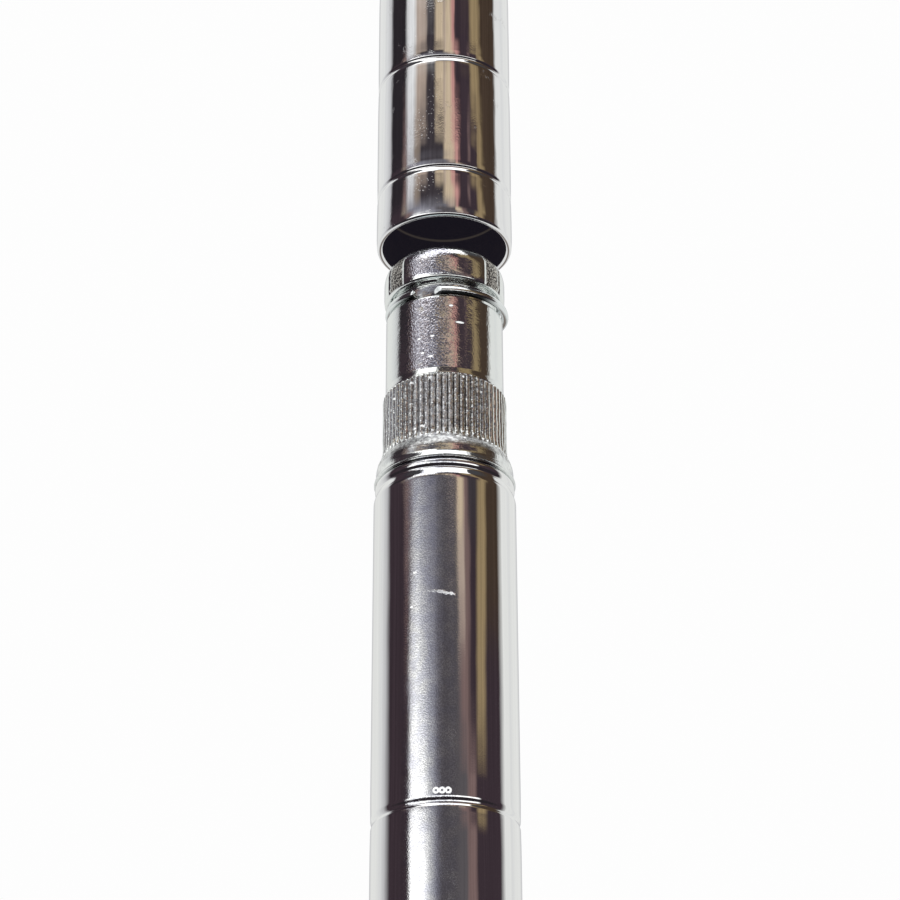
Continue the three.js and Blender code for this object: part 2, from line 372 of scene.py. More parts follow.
def chrome_upper():
    """Bright mirror chrome, very slightly wavy, with drawing lines, hairline scuffs and fine pits."""
    material, tree, shader = start_material("chrome_upper")
    place = in_mm(tree)
    arc, height = unwrapped(tree, place, TUBE_RADIUS)
    scuffed = fade(tree, noise_of(tree, place, 6, stretch=(1, 1, 2)), 0.5, 0.65)
    pits = times(tree, speckles(tree, place), span(tree, arc, -9.0, -7.0, -1.5, 1.0))
    scratch = hairlines(tree, arc, height, place)
    rough = layered(tree, 0.025, (scuffed, 0.015), (largest(tree, pits, scratch), 0.07))
    wave = noise_of(tree, place, 5, stretch=(1, 1, 2.5), detail=2)
    lines = noise_of(tree, place, 0.6, stretch=(1, 1, 50), detail=2)
    grain = times(tree, noise_of(tree, place, 0.3, detail=1), scuffed)
    relief = times(tree, wave, 0.05)
    relief = layered(tree, relief, (lines, 0.006), (grain, 0.008), (pits, 0.005), (scratch, -0.008))
    finish_material(tree, shader, (0.86, 0.86, 0.87, 1), rough, 1.0, relief)
    return material


def speckles(tree, place):
    """Small round spots about half a millimetre apart, gathered in patches."""
    cells = add(tree, "ShaderNodeTexVoronoi", {"Vector": place, "Scale": 2.0}).outputs["Distance"]
    patch = fade(tree, noise_of(tree, place, 7), 0.46, 0.58)
    return times(tree, fade(tree, cells, 0.2, 0.12), patch)


def hairlines(tree, arc, height, place):
    """Sparse fine scratches that lean across the tube, as the edges of long thin noise."""
    slant = layered(tree, height, (arc, 0.8))
    flat = add(tree, "ShaderNodeCombineXYZ", {0: times(tree, arc, 0.35), 1: times(tree, slant, 3)}).outputs[0]
    thread = add(tree, "ShaderNodeTexNoise", {"Vector": flat, "Scale": 1.0, "Detail": 0.0}).outputs[0]
    thin = fade(tree, distance(tree, thread, 0.5), 0.02, 0.004)
    return times(tree, thin, fade(tree, noise_of(tree, place, 4), 0.64, 0.7))


def chrome_lower():
    """Chrome clouded by fine rub marks in front, with three punch marks, a short scratch and rubbed spots."""
    material, tree, shader = start_material("chrome_lower")
    place = in_mm(tree)
    arc, height = unwrapped(tree, place, TUBE_RADIUS)
    cloud = noise_of(tree, place, 3.5, detail=6, stretch=(1, 1, 1.8), roughness=0.7)
    grain = noise_of(tree, place, 0.22, detail=1)
    front = span(tree, arc, -8.5, -6.5, 1.4, 2.9)
    haze = times(tree, fade(tree, cloud, 0.3, 0.75), front)
    marks = punch_marks(tree, arc, height)
    worn = largest(tree, marks, short_scratch(tree, arc, height, place), nicks(tree, arc, height, RUBS))
    relief = times(tree, noise_of(tree, place, 6, stretch=(1, 1, 3), detail=2), 0.05)
    grainy = times(tree, grain, calc(tree, "ADD", front, 0.12))
    relief = layered(tree, relief, (grainy, 0.009), (worn, 0.05))
    dots = times(tree, fade(tree, grain, 0.42, 0.58), front)
    mottle = times(tree, fade(tree, noise_of(tree, place, 2.4, detail=3), 0.35, 0.65), front)
    tint = blend_colour(tree, times(tree, mottle, 0.7), (0.86, 0.86, 0.86, 1), (0.66, 0.67, 0.76, 1))
    tint = blend_colour(tree, times(tree, dots, 0.5), tint, (0.45, 0.45, 0.48, 1))
    tint = blend_colour(tree, worn, tint, WORN_WHITE)
    metal = calc(tree, "SUBTRACT", 1.0, worn)
    finish_material(tree, shader, tint, layered(tree, 0.032, (haze, 0.12)), metal, relief)
    return material


def punch_marks(tree, arc, height):
    """Three small rings in a row, just above the highest groove of the lower tube."""
    leftmost, pitch, radius = -1.55, 1.03, 0.4
    along = calc(tree, "SUBTRACT", height, LOWER_GROOVES[-1] + 1.95)
    rings = []
    for i in range(3):
        across = calc(tree, "SUBTRACT", arc, leftmost + pitch * i)
        off_circle = distance(tree, calc(tree, "SQRT", squares(tree, across, along)), radius)
        rings.append(fade(tree, off_circle, 0.24, 0.13))
    return largest(tree, *rings)


def short_scratch(tree, arc, height, place):
    """A short ragged scratch almost level across the front of the lower tube, brightest at its right end."""
    level = layered(tree, EDGE - 22.9, (arc, -0.19))
    ragged = calc(tree, "SUBTRACT", noise_of(tree, place, 0.5, detail=3), 0.5)
    thin = fade(tree, layered(tree, distance(tree, height, level), (ragged, 0.9)), 0.3, 0.05)
    along = calc(tree, "ADD", arc, 0.7)
    strength = times(tree, fade(tree, along, -3.5, 2.6), 0.8)
    return times(tree, times(tree, thin, fade(tree, distance(tree, along), 2.6, 2.1)), strength)


def nicks(tree, arc, height, marks):
    """Short bright dings, rubs and burrs, each a small flattened spot."""
    spots = []
    for across, up, reach in marks:
        dx = calc(tree, "DIVIDE", calc(tree, "SUBTRACT", arc, across), reach)
        dz = calc(tree, "DIVIDE", calc(tree, "SUBTRACT", height, EDGE + up), NICK_HALF_HEIGHT)
        spots.append(fade(tree, squares(tree, dx, dz), 1.3, 0.5))
    return largest(tree, *spots)


def bare_bore():
    """The unplated inside of a tube: near-black oxide, with a faint painted glow that is brighter and browner
    on the ridges behind the grooves, as a painted highlight.
    """
    material, tree, shader = start_material("bare_bore")
    place = in_mm(tree)
    above_ridge = calc(tree, "SUBTRACT", axes_of(tree, place)[2], UPPER_GROOVES[0] - 1.1)
    ridge = fade(tree, calc(tree, "PINGPONG", above_ridge, GROOVE_PITCH / 2), 0.3, 0.1)
    blotch = noise_of(tree, place, 3, detail=4)
    oxide = blend_colour(tree, blotch, (0.012, 0.010, 0.014, 1), (0.05, 0.035, 0.03, 1))
    # painted light: a faint glow over the bore, brighter and browner on the ridges behind the grooves as a
    # painted highlight
    painted_bore_light = blend_colour(tree, ridge, (0.0075, 0.0065, 0.0105, 1), (0.036, 0.030, 0.027, 1))
    link(tree, painted_bore_light, shader.inputs["Emission Color"])
    shader.inputs["Emission Strength"].default_value = 1.0
    finish_material(tree, shader, oxide, 0.55, 0.6, times(tree, noise_of(tree, place, 0.4, detail=2), 0.04))
    return material


def plug_plating():
    """Plating over a pitted bar: clear at the sides, pitted in front, with a dirty, blotched knurl that has
    painted shade at its tooth roots and a painted highlight on its crests at the front left.
    """
    material, tree, shader = start_material("plug_plating")
    place = in_mm(tree)
    arc, height = unwrapped(tree, place, SHANK_RADIUS)
    pits = noise_of(tree, place, 0.34, detail=1)
    lumps = noise_of(tree, place, 0.8, detail=2)
    knurl = span(tree, height, KNURL_BASE - 1.2, KNURL_BASE, KNURL_TOP - 0.3, KNURL_TOP)
    shoulder = span(tree, height, EDGE + 6.1, EDGE + 6.7, KNURL_BASE - 0.1, KNURL_BASE + 0.4)
    collar = span(tree, height, EDGE + 3.6, EDGE + 3.9, KNURL_BASE - 0.3, KNURL_BASE)
    crown = fade(tree, height, NOSE_TIP - 2.5, NOSE_TIP - 1.5)
    rolled = largest(tree, shoulder, crown)
    pitted = pitted_front(tree, arc, height, place)
    pads = pad_mask(tree, arc, height, place)
    dings = nicks(tree, arc, height, NICKS)

    # teeth: painted shade at their roots in front, and matt on parts of their crests, most at the front left
    x, y, _ = axes_of(tree, place)
    radius = calc(tree, "SQRT", squares(tree, x, y))
    front_knurl = times(tree, knurl, fade(tree, distance(tree, arc), 9.6, 7.8))
    # painted shade: the tooth roots in front are darkened where shade falls between the teeth
    root = times(tree, fade(tree, radius, KNURL_ROOT + 0.26, KNURL_ROOT + 0.06), front_knurl)
    crest = times(tree, fade(tree, radius, KNURL_ROOT + 0.16, KNURL_ROOT + 0.34), knurl)
    front_left = span(tree, arc, -7.5, -4.5, 0.5, 3.0)
    ragged = fade(tree, noise_of(tree, place, 0.7, detail=3, stretch=(1, 1, 1.6)), 0.36, 0.56)
    matt = times(tree, times(tree, crest, layered(tree, 0.04, (front_left, 0.22))), ragged)

    rough = layered(tree, 0.07, (pitted, 0.05), (knurl, 0.035), (shoulder, 0.2))
    rough = layered(tree, rough, (collar, 0.04), (pads, 0.25), (crown, 0.16))
    depth = layered(tree, 0.016, (pitted, 0.042), (rolled, 0.07), (pads, 0.2))
    lumpy = times(tree, lumps, largest(tree, front_knurl, times(tree, knurl, 0.4)))
    relief = times(tree, noise_of(tree, place, 3, detail=2), 0.05)
    relief = layered(tree, relief, (pits, depth), (lumpy, 0.15), (dings, -0.1))

    tint = blend_colour(tree, pitted, (0.83, 0.85, 0.84, 1), (0.86, 0.86, 0.95, 1))
    in_pits = times(tree, times(tree, fade(tree, pits, 0.54, 0.42), pitted), 0.5)
    # dark pits, and painted shade in the tooth roots
    dark_pits_and_root_shade = largest(tree, in_pits, times(tree, root, 0.7))
    tint = blend_colour(tree, dark_pits_and_root_shade, tint, (0.16, 0.15, 0.17, 1))
    oxide = blend_colour(tree, fade(tree, pits, 0.42, 0.62), (0.06, 0.05, 0.05, 1), (0.75, 0.72, 0.66, 1))
    tint = blend_colour(tree, pads, tint, oxide)
    blotch_strength = layered(tree, 0.15, (largest(tree, rolled, times(tree, front_knurl, 0.7)), 0.5))
    blotches = times(tree, fade(tree, lumps, 0.4, 0.62), blotch_strength)
    blotches = times(tree, blotches, largest(tree, collar, crown, front_knurl))
    tint = blend_colour(tree, blotches, tint, (0.2, 0.19, 0.2, 1))
    # painted highlight: the matt crests are paler and bluer at the front left, where the light catches them
    crest_tint_with_painted_highlight = blend_colour(tree, front_left, (0.46, 0.45, 0.45, 1), (0.66, 0.67, 0.76, 1))
    tint = blend_colour(tree, dings, blend_colour(tree, matt, tint, crest_tint_with_painted_highlight), WORN_WHITE)
    metal = calc(tree, "SUBTRACT", 1.0, largest(tree, dings, matt))
    finish_material(tree, shader, tint, rough, metal, relief)
    return material


def pitted_front(tree, arc, height, place):
    """Where the shank and nose are finely pitted: a ragged patch in front, clear of edges and the groove."""
    ragged = layered(tree, arc, (noise_of(tree, place, 1.2, detail=4), 3))
    patch = fade(tree, distance(tree, ragged, -1.6), 5.0, 3.0)
    patch = times(tree, patch, fade(tree, noise_of(tree, place, 2.2), 0.25, 0.45))
    on_shank = span(tree, height, KNURL_TOP + 1.3, KNURL_TOP + 1.6, EDGE + 37.2, EDGE + 37.6)
    on_nose = span(tree, height, EDGE + 42, EDGE + 42.5, NOSE_TIP - 0.3, NOSE_TIP + 0.5)
    return times(tree, patch, largest(tree, on_shank, on_nose))


def pad_mask(tree, arc, height, place):
    """The four unpolished pads sunk in the nose's sides, with ragged outer edges."""
    ragged = calc(tree, "SUBTRACT", noise_of(tree, place, 0.8, detail=3), 0.5)
    quarter = calc(tree, "PINGPONG", distance(tree, arc), pi / 2 * SHANK_RADIUS)
    off_middle = distance(tree, quarter, radians(PAD_MIDDLE) * SHANK_RADIUS)
    within = fade(tree, layered(tree, off_middle, (ragged, 1.2)), 2.0, 1.5)
    tall = span(tree, height, NOSE_BASE + 0.2, NOSE_BASE + 0.6, NOSE_TIP - 1.4, NOSE_TIP - 0.8)
    return times(tree, within, tall)


def ring_steel():
    """Drawn spring wire, with painted shade along its underside and a dull cut end at the front."""
    material, tree, shader = start_material("ring_steel")
    place = in_mm(tree)
    x, y, z = axes_of(tree, place)
    across = calc(tree, "DIVIDE", calc(tree, "SUBTRACT", x, RING_SHIFT), RING_BEND)
    back = calc(tree, "DIVIDE", y, RING_BEND)
    middle = layered(tree, EDGE + RING_LOW + RING_TILT, (back, RING_TILT), (across, -RING_LEAN))
    uneven = noise_of(tree, place, 0.8, detail=2)
    under = layered(tree, calc(tree, "SUBTRACT", z, middle), (uneven, 0.2))
    # painted shade: the wire's underside is darkened where shade falls between it and the groove below
    underside_shade = times(tree, fade(tree, under, -0.3, -0.44), fade(tree, distance(tree, across), 0.95, 0.6))
    cut = times(tree, span(tree, x, -3.0, -2.5, -0.75, -0.5), fade(tree, y, -7, -9))
    steel = blend_colour(tree, underside_shade, (0.82, 0.85, 0.85, 1), (0.03, 0.03, 0.032, 1))
    rough = layered(tree, 0.04, (noise_of(tree, place, 1.5), 0.1), (underside_shade, 0.2))
    metal = layered(tree, 1.0, (cut, -0.8))
    relief = times(tree, noise_of(tree, place, 0.5, stretch=(1, 1, 0.3)), 0.01)
    finish_material(tree, shader, steel, rough, metal, relief)
    return material


def zinc_plate(name, tint):
    """Bright zinc with its faint mottled spangle."""
    material, tree, shader = start_material(name)
    place = in_mm(tree)
    cells = add(tree, "ShaderNodeTexVoronoi", {"Vector": place, "Scale": 0.5}).outputs["Color"]
    value = add(tree, "ShaderNodeSeparateColor", {0: cells}).outputs[0]
    spangle = blend_colour(tree, value, tint, (*(0.8 * c for c in tint[:3]), 1))
    relief = times(tree, noise_of(tree, place, 0.4, detail=3), 0.012)
    finish_material(tree, shader, spangle, layered(tree, 0.22, (value, 0.15)), 1.0, relief)
    return material


def moulded_plastic(name, tint, wear):
    """Fine spark-eroded mould texture with paler rubbed patches."""
    material, tree, shader = start_material(name)
    place = in_mm(tree)
    rubbed = fade(tree, noise_of(tree, place, 3, detail=4), 0.5, 0.75)
    relief = times(tree, noise_of(tree, place, 0.25, detail=2), 0.03)
    rough = layered(tree, 0.42, (rubbed, 0.12))
    finish_material(tree, shader, blend_colour(tree, rubbed, tint, wear), rough, 0.0, relief)
    return material


# ------------------------------------------------------------------ pieces


def make_upper_tube():
    lip = WALL / 2 - 0.04
    lip_steps = 16
    start = [(BORE_RADIUS, MOUTH + 2)]
    for k in range(lip_steps + 1):
        angle = pi * k / lip_steps
        start.append((BORE_RADIUS + lip * (1 - cos(angle)), MOUTH + lip * (1 - sin(angle))))
    start += [(TUBE_RADIUS - 0.03, MOUTH + 1.4), (TUBE_RADIUS, MOUTH + 2.3)]
    end = [
        (TUBE_RADIUS, UPPER_TOP - 0.5, 0.2),
        (TUBE_RADIUS - 0.2, UPPER_TOP, 0.2),
        (BORE_RADIUS + 0.1, UPPER_TOP, 0.1),
        (BORE_RADIUS, UPPER_TOP - 0.3, 0.1),
    ]
    outline = start + wall_outside(UPPER_GROOVES, UPPER_REACH) + rounded(end) + wall_inside(UPPER_GROOVES)
    piece(
        "upper_tube_fine", "upper_tube", "upper_section",
        turned(outline, TUBE_SIDES, closed=True), [chrome_upper(), bare_bore()], paint=tube_side,
    )


def tube_side(middle):
    """Which material a tube's face takes: 0 outside, 1 in the bore."""
    return int(sqrt(middle.x**2 + middle.y**2) < BORE_RADIUS + 0.1)


def make_lower_tube():
    start = [
        (BORE_RADIUS, LOWER_BASE + 0.3, 0.1),
        (BORE_RADIUS + 0.1, LOWER_BASE, 0.1),
        (TUBE_RADIUS - 0.2, LOWER_BASE, 0.2),
        (TUBE_RADIUS, LOWER_BASE + 0.5, 0.2),
    ]
    end = [
        (TUBE_RADIUS, EDGE - 0.9, 0),
        (TUBE_RADIUS, EDGE + 0.1, 0.6),
        (TUBE_RADIUS - 0.5, EDGE + 1.45, 0.35),
        (TUBE_RADIUS - 0.54, EDGE + 1.75, 0.2),
        (TUBE_RADIUS - 0.26, EDGE + 2.3, 0.3),
        (TUBE_RADIUS - 0.2, EDGE + 2.9, 0.3),
        (TUBE_RADIUS - 0.4, EDGE + 3.35, 0.3),
        (TUBE_RADIUS - 0.9, EDGE + RIM_TOP, 0.2),
        (BORE_RADIUS, EDGE + RIM_TOP, 0),
    ]
    outline = rounded(start) + wall_outside(LOWER_GROOVES, LOWER_REACH) + rounded(end)
    outline += wall_inside(LOWER_GROOVES)
    piece(
        "lower_tube_fine", "lower_tube", "lower_section",
        turned(outline, TUBE_SIDES, closed=True), [chrome_lower(), bare_bore()], paint=tube_side,
    )


def knurled(radius, height, angle):
    """Cuts straight teeth round the plug. They stand proud lower down, where they run out into the collar."""
    if radius <= KNURL_ROOT or not KNURL_BASE - 0.3 < height < KNURL_TOP + 0.05:
        return radius
    turn = angle * KNURL_TEETH / (2 * pi)
    nearest = int(turn + 0.5)
    tooth = nearest % KNURL_TEETH
    off_tip = abs(turn - nearest) * 2
    run_out_height = 2.2
    run_out = max(0.0, (KNURL_BASE + run_out_height - height) / run_out_height) ** 2
    tip = KNURL_TIP + 0.3 * run_out + 0.09 * noise.noise(Vector((tooth * 1.7, height * 0.45, 4)))
    root = KNURL_ROOT + 0.35 * run_out + 0.05 * noise.noise(Vector((tooth * 2.3, height * 0.6, 9)))
    return min(radius, root + (tip - root) * (1 - off_tip**3))


def nosed(radius, height, angle):
    """Sinks the four pads into the nose's sides, each with a soft step at its edges."""
    if height < NOSE_BASE + 0.3:
        return radius
    off_front = abs((degrees(angle) % 180) - 90)
    off_middle = abs(off_front - PAD_MIDDLE)
    return radius - PAD_DEPTH * min(1.0, max(0.0, (PAD_HALF_WIDTH + 2 - off_middle) / 3.2))


def make_plug():
    lower = [
        (0, EDGE - PLUG_DEPTH, 0),
        (BORE_RADIUS - PRESS_GAP - 1, EDGE - PLUG_DEPTH, 0.3),
        (BORE_RADIUS - PRESS_GAP, EDGE - PLUG_DEPTH + 1, 0.3),
        (BORE_RADIUS - PRESS_GAP, COLLAR_BASE, 0),
        (12.3, EDGE + 3.7, 0.1),
        (12.69, EDGE + 3.85, 0.12),
        (12.66, EDGE + 4.0, 0.15),
        (12.34, EDGE + 4.95, 0.3),
        (12.3, EDGE + 6.2, 0.8),
        (12.15, EDGE + 7.1, 0.7),
        (11.75, EDGE + 7.9, 0.3),
        (KNURL_LIMIT, EDGE + 8.35, 0.1),
        (KNURL_LIMIT, KNURL_BASE, 0),
    ]
    knurl_rows = [(KNURL_LIMIT, KNURL_BASE + 0.05 + k * 0.4) for k in range(31)]
    upper = [
        (KNURL_LIMIT, KNURL_TOP - 0.35, 0),
        (KNURL_ROOT + 0.1, KNURL_TOP, 0),
        (KNURL_ROOT + 0.12, KNURL_TOP + 0.2, 0.1),
        (SHANK_RADIUS, KNURL_TOP + 1.35, 0.1),
        (SHANK_RADIUS, RING_GROOVE_BASE - 0.15, 0.3),
        (SHANK_RADIUS - 0.3, RING_GROOVE_BASE, 0.15),
        (RING_GROOVE_RADIUS, RING_GROOVE_BASE, 0.3),
        (RING_GROOVE_RADIUS, RING_GROOVE_TOP, 0.3),
        (10.5, RING_GROOVE_TOP + 0.15, 0.2),
        (NOSE_RADIUS - 0.12, NOSE_BASE + 0.2, 0.3),
        (NOSE_RADIUS, NOSE_BASE + 1.2, 0.5),
        (NOSE_RADIUS, NOSE_TIP - 3.3, 2.0),
        (10.5, NOSE_TIP - 1.5, 1.3),
        (8.7, NOSE_TIP - 0.2, 1.1),
        (5.0, NOSE_TIP, 0.5),
        (0, NOSE_TIP, 0),
    ]
    outline = rounded(lower) + knurl_rows + rounded(upper, steps=6)

    def reshaped(radius, height, angle):
        return nosed(knurled(radius, height, angle), height, angle)

    piece(
        "coupling_plug_fine", "coupling_plug", "lower_section",
        turned(outline, 6 * KNURL_TEETH, reshape=reshaped), [plug_plating()],
    )


def make_snap_ring():
    """A bent wire with dimpled ends, the front one slanting. It hangs to the right and lower in front."""
    thick, tall, squareness, face_lean = 0.62, 0.74, 3.2, radians(14)
    start, end = radians(-9.5), radians(360 - 33.5)
    end_rounding = 0.01  # radians round the bend
    steps, around = 168, 32
    slant_reach = radians(9)  # how far round the wire its front end's slant dies out
    verts, faces = [], []

    def section(turn, inset=1.0, step=0.0):
        out = Vector((sin(turn), -cos(turn), 0))
        ahead = Vector((cos(turn), sin(turn), 0))
        rise = RING_LOW + RING_TILT * (1 - cos(turn)) - RING_LEAN * sin(turn)
        middle = out * RING_BEND + ahead * step + Vector((RING_SHIFT, 0, EDGE + rise))
        slant = max(0.0, 1 - (turn - start) / slant_reach)
        first = len(verts)
        for k in range(around):
            c, s = cos(2 * pi * k / around), sin(2 * pi * k / around)
            reach = inset / (abs(c) ** squareness + abs(s) ** squareness) ** (1 / squareness)
            u, v = thick * reach * c, tall * reach * s
            outward = u * cos(face_lean) - v * sin(face_lean)
            upward = u * sin(face_lean) + v * cos(face_lean)
            verts.append(tuple(middle + out * outward + ahead * slant * outward + Vector((0, 0, upward))))
        return first

    bend = end - start - 2 * end_rounding
    rings = [section(start, 0.2, 0.4), section(start, 0.45, 0.05), section(start, 0.9)]
    rings += [section(start + end_rounding + bend * i / steps) for i in range(steps + 1)]
    rings += [section(end, 0.9), section(end, 0.45, -0.05), section(end, 0.25, -0.22)]
    for low, high in zip(rings, rings[1:]):
        for k in range(around):
            j = (k + 1) % around
            faces.append([low + k, low + j, high + j, high + k])
    faces.append([rings[0] + k for k in range(around)])
    faces.append([rings[-1] + k for k in reversed(range(around))])
    ring = piece(
        "snap_ring_fine", "snap_ring", "retaining_ring",
        (verts, faces), [ring_steel()], sharp=50,
    )
    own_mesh(ring)


def make_top_cap():
    top = top_of("top_cap")
    base = bottom_of("top_cap")
    skirt, rib_tip, rib_half_width = 11.0, 11.34, 0.6
    rib_pitch = pi / 3
    seat = UPPER_TOP + PRESS_GAP

    def ribbed(radius, height, angle):
        on_skirt = base + 0.5 < height < UPPER_TOP - 0.6 and radius > skirt - 0.1
        on_rib = abs((angle / rib_pitch + 0.5) % 1 - 0.5) * rib_pitch * radius < rib_half_width
        return rib_tip if on_skirt and on_rib else radius

    outline = rounded([
        (0, UPPER_TOP - 0.5, 0),
        (9.6, UPPER_TOP - 0.5, 0.5),
        (9.6, base, 0.1),
        (10.7, base, 0.2),
        (skirt, base + 0.9, 0.3),
        (skirt, UPPER_TOP - 0.5, 0),
        (skirt, seat, 0),
        (TUBE_RADIUS - 0.1, seat, 0.15),
        (TUBE_RADIUS - 0.1, UPPER_TOP + 1.3, 0.8),
        (TUBE_RADIUS - 1.6, UPPER_TOP + 2.6, 1.2),
        (8.6, top - 0.15, 1.4),
        (6.2, top, 0.8),
        (0, top, 0),
    ], steps=6)
    piece(
        "top_cap_fine", "top_cap", "upper_section",
        turned(outline, 144, reshape=ribbed),
        [moulded_plastic("cap_plastic_moulded", (0.028, 0.029, 0.032, 1), (0.06, 0.06, 0.065, 1))],
    )


def make_foot_insert():
    base = bottom_of("foot_insert")
    top = top_of("foot_insert")
    bore, flange, sleeve = 5.15, 12.6, BORE_RADIUS - PRESS_GAP
    outline = rounded([
        (bore, base + 0.7, 0.2),
        (5.8, base, 0.2),
        (flange - 0.4, base, 0.35),
        (flange, base + 0.5, 0.3),
        (flange, LOWER_BASE - PRESS_GAP, 0.15),
        (sleeve, LOWER_BASE - PRESS_GAP, 0),
        (sleeve, top - 1.5, 0.3),
        (10.6, top, 0.2),
        (bore, top, 0.2),
    ], closed=True)
    piece(
        "foot_insert_fine", "foot_insert", "lower_section",
        turned(outline, 120, closed=True), [zinc_plate("insert_zinc", (0.58, 0.59, 0.58, 1))],
    )


def make_stud():
    """The stud with a real right-hand helix, as turned rows whose radius follows the thread."""
    base = bottom_of("levelling_stud")
    top = top_of("levelling_stud")
    thread_base, thread_top = NUT_TOP + 0.3, top - 0.2
    crest, root, head, neck = 4.95, 4.1, 6, 4.15
    head_top = base + 1.7

    def threaded(radius, height, angle):
        if not thread_base < height < thread_top:
            return radius
        phase = (height / THREAD_PITCH - angle / (2 * pi)) % 1
        flank = min(1.0, max(0.0, 2.6 * abs(phase - 0.5) - 0.15))
        return min(radius, crest - (crest - root) * flank)

    rows = int((thread_top - thread_base) / (THREAD_PITCH / 10))
    row_pitch = (thread_top - thread_base - 0.1) / rows
    outline = [
        (0, base), (head - 0.3, base), (head, base + 0.3), (head, head_top), (neck, head_top),
        (neck, NUT_BASE - 0.1), (crest, NUT_BASE + 0.2), (crest, thread_base),
    ]
    outline += [(crest, thread_base + 0.05 + i * row_pitch) for i in range(rows - 8)]
    outline += [(crest - 0.9, top - 0.2), (crest - 1.1, top), (0, top)]
    piece(
        "levelling_stud_fine", "levelling_stud", "levelling_screw",
        turned(outline, 64, reshape=threaded), [zinc_plate("stud_zinc", (0.62, 0.62, 0.60, 1))], sharp=60,
    )


def make_nut():
    """A hexagon whose corners are turned off at 30 degrees, so the flats end in curved edges."""
    flat = NUT_ACROSS_FLATS / 2
    corner = flat / cos(pi / 6)
    hole, hole_mouth, land = 5.05, 5.4, 0.12

    def hexagonal(radius, height, angle):
        if radius < 6:
            return radius
        off_flat = (angle + pi / 6) % (pi / 3) - pi / 6
        return min(radius, flat / cos(off_flat))

    bevel = land + (corner - flat) * tan(pi / 6)
    outline = [
        (hole, NUT_BASE + 0.4), (hole_mouth, NUT_BASE), (flat - 0.25, NUT_BASE),
        (flat, NUT_BASE + land), (corner, NUT_BASE + bevel), (corner, NUT_BASE + 2),
        (corner, NUT_TOP - 2), (corner, NUT_TOP - bevel), (flat, NUT_TOP - land),
        (flat - 0.25, NUT_TOP), (hole_mouth, NUT_TOP), (hole, NUT_TOP - 0.4),
    ]
    piece(
        "adjusting_nut_fine", "adjusting_nut", "levelling_screw",
        turned(outline, 144, closed=True, reshape=hexagonal),
        [zinc_plate("nut_zinc", (0.64, 0.63, 0.58, 1))], sharp=22,
    )


def make_glide():
    top = top_of("glide_shell")
    shell = rounded([
        (11.5, 1.55, 0.15), (12.3, 1.5, 0.2), (12.5, 1.9, 0.2), (12.5, 4.2, 1.2), (11.3, 6.0, 1.2),
        (9.4, top, 1.0), (4.8, top, 0.3), (4.55, top - 0.3, 0.2), (4.55, top - 1, 0.1),
        (9.0, top - 1, 0.9), (10.6, 5.2, 0.9), (11.5, 3.9, 0.8),
    ], closed=True)
    piece(
        "glide_shell_fine", "glide_shell", "foot_glide",
        turned(shell, 144, closed=True), [zinc_plate("shell_chrome_plate", (0.80, 0.80, 0.81, 1))],
    )
    pad = rounded([
        (0, 0, 0), (10.4, 0, 0.3), (11.3, 0.8, 0.4), (11.3, 3.5, 0.8), (10.4, 4.8, 0.8),
        (8.8, 5.3, 0.4), (6.6, 5.3, 0.2), (6.6, 3.2, 0.3), (0, 3.2, 0),
    ])
    piece(
        "glide_pad_fine", "glide_pad", "foot_glide",
        turned(pad, 144),
        [moulded_plastic("pad_nylon_moulded", (0.17, 0.175, 0.18, 1), (0.28, 0.28, 0.28, 1))],
    )


# ------------------------------------------------------------------ studio

# The tones of the mirrored room, as 0-255 screen values. The window is brighter than the screen's white.
WINDOW = (300, 300, 298)
WHITE = (250, 250, 248)
LIGHT = (219, 220, 218)
PALE = (210, 211, 211)
MIST = (184, 184, 186)
STEEL = (152, 152, 160)
SLATE = (124, 123, 132)
GREY = (102, 100, 106)
DUSK = (84, 80, 83)
CHARCOAL = (58, 53, 57)
NIGHT = (40, 36, 40)
PLUM = (56, 46, 52)
BROWN = (65, 53, 44)
MAUVE = (116, 96, 94)
ROSE = (188, 140, 134)
SAND = (194, 176, 150)
BEIGE = (166, 150, 138)
TAUPE = (128, 116, 106)
OLIVE = (140, 122, 92)
FAR_FLOOR = (128, 120, 114)
STUDIO_FLOOR = (204, 218, 218)
MIRROR_LOSS = 0.85  # the share of a tone that the chrome gives back, so the room's tones are raised by it

# (start, end, tone) bands: first the pale walls beyond the post, then the edges where the room meets them
WALLS = [(-180, -168, MIST), (-150, -130, LIGHT), (-121, 121, PALE), (130, 150, LIGHT), (168, 180, MIST)]
LEFT_WALL = [(-125, -118, PALE), (-107, -107, MIST)]
RIGHT_WALL = [(103, 125, LIGHT)]

